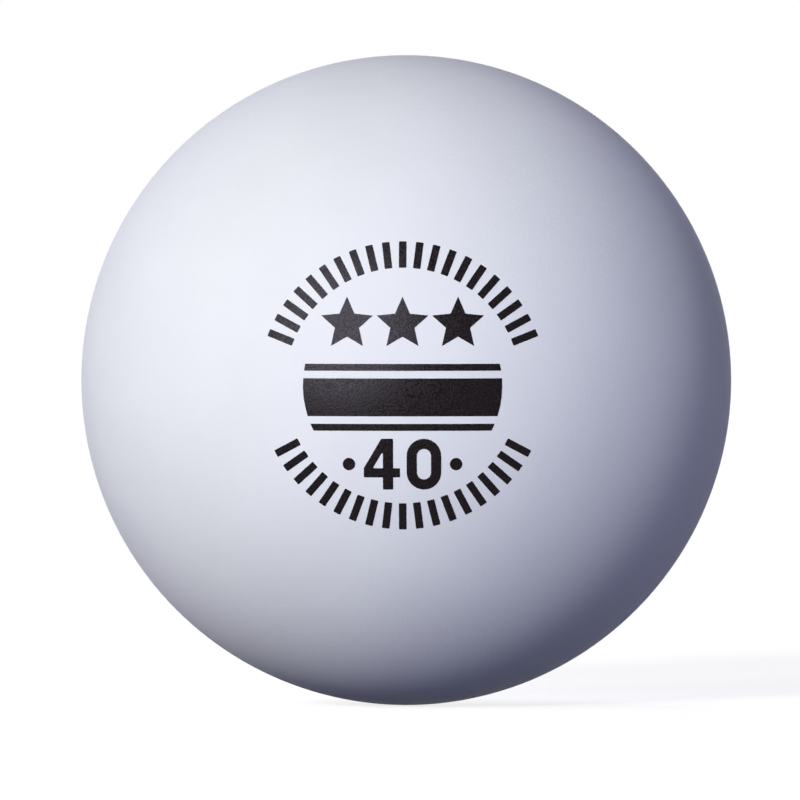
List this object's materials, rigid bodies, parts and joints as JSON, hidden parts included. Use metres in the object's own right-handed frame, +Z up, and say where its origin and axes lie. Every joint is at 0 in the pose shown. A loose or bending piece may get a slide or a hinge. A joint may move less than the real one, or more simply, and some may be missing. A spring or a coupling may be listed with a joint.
{
  "type": "table tennis ball",
  "caption": "Hollow matte plastic ball for table tennis: moulded cups lapped and cemented at a seam, with a black printed grade stamp over one pole.",
  "frame": {"origin": "centre of the ball", "axes": "+Z up as the stamp reads, -Y out of the stamped pole towards the viewer, +X to the viewer's right; the seam lies in the XZ plane"},
  "size_m": [0.0402, 0.0402, 0.0402],
  "materials": {
    "shell": "tumbled matte white",
    "cement": "ground flush, matte",
    "ink": "satin black pad print"
  },
  "bodies": {
    "root": {"front_cup": "shell", "rear_cup": "shell", "seam_bond": "cement", "grade_stars": "ink", "upper_marks": "ink", "lower_marks": "ink", "centre_rule": "ink"}
  },
  "joints": []
}
